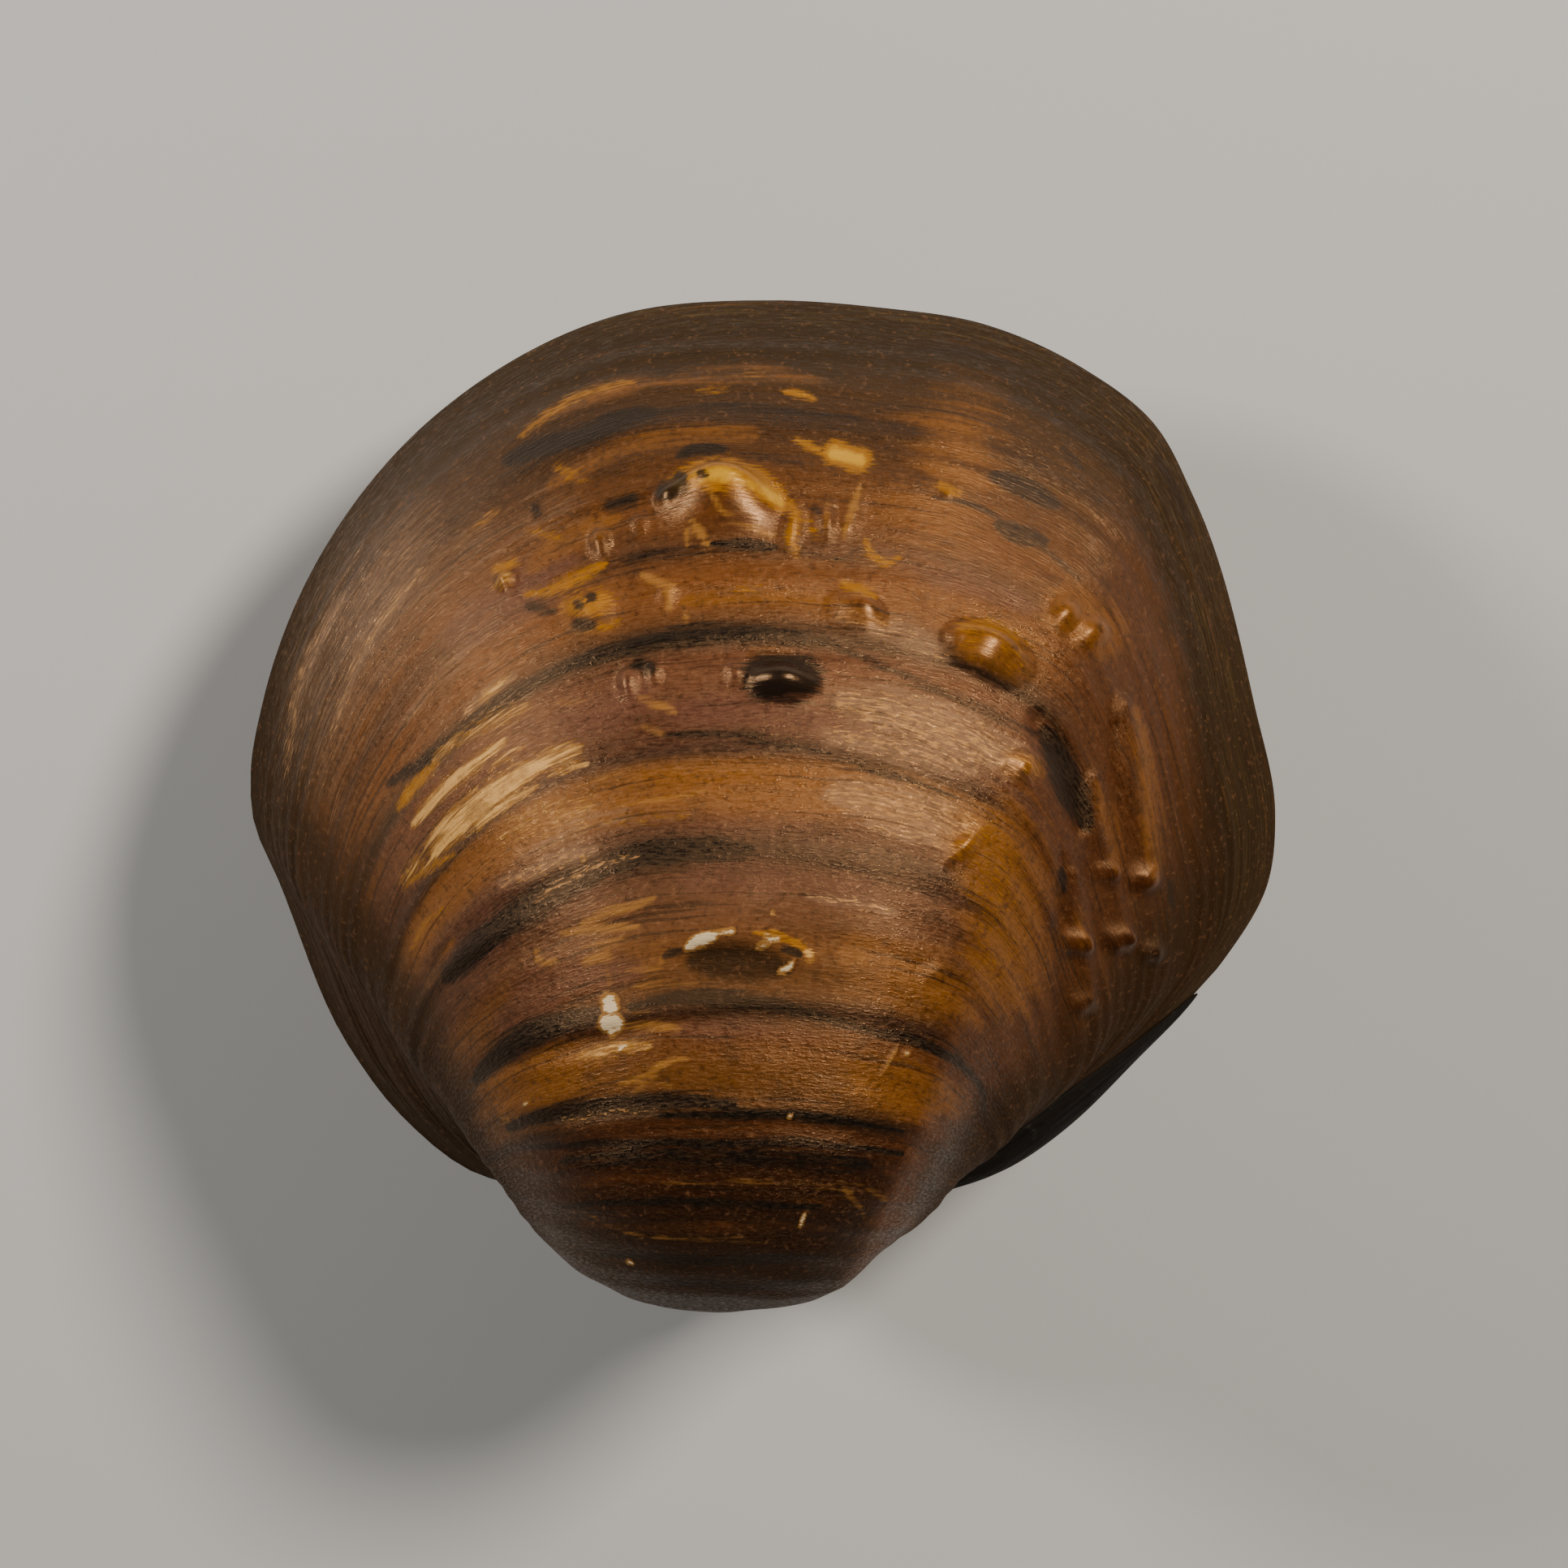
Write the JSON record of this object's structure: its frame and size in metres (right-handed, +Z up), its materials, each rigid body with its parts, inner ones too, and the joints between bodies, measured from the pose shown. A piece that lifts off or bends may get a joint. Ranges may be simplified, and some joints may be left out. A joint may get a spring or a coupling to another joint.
{
  "type": "mussel shell",
  "caption": "Closed river mussel shell lying on one side, with an inflated beak, growth bands, low knobs on the outside and a dry hinge ligament",
  "frame": {"origin": "Middle of the bounding box at its underside, on the surface that the shell lies on", "axes": "+Z is up, out of the right valve; +X is towards the posterior end; +Y is from the beaks to the free edge of the shell. The plane between the valves is turned 10.7 degrees about X and 1.1 degrees about Y, as the shell lies."},
  "size_m": [0.07, 0.0688, 0.0478],
  "materials": {
    "periostracum": "satin brown horny skin over limy shell",
    "periostracum_dark": "satin dark brown horny skin over limy shell",
    "ligament": "matte, dry and fibrous"
  },
  "bodies": {
    "root": {"right_valve": "periostracum", "left_valve": "periostracum_dark", "ligament": "ligament"}
  },
  "joints": []
}
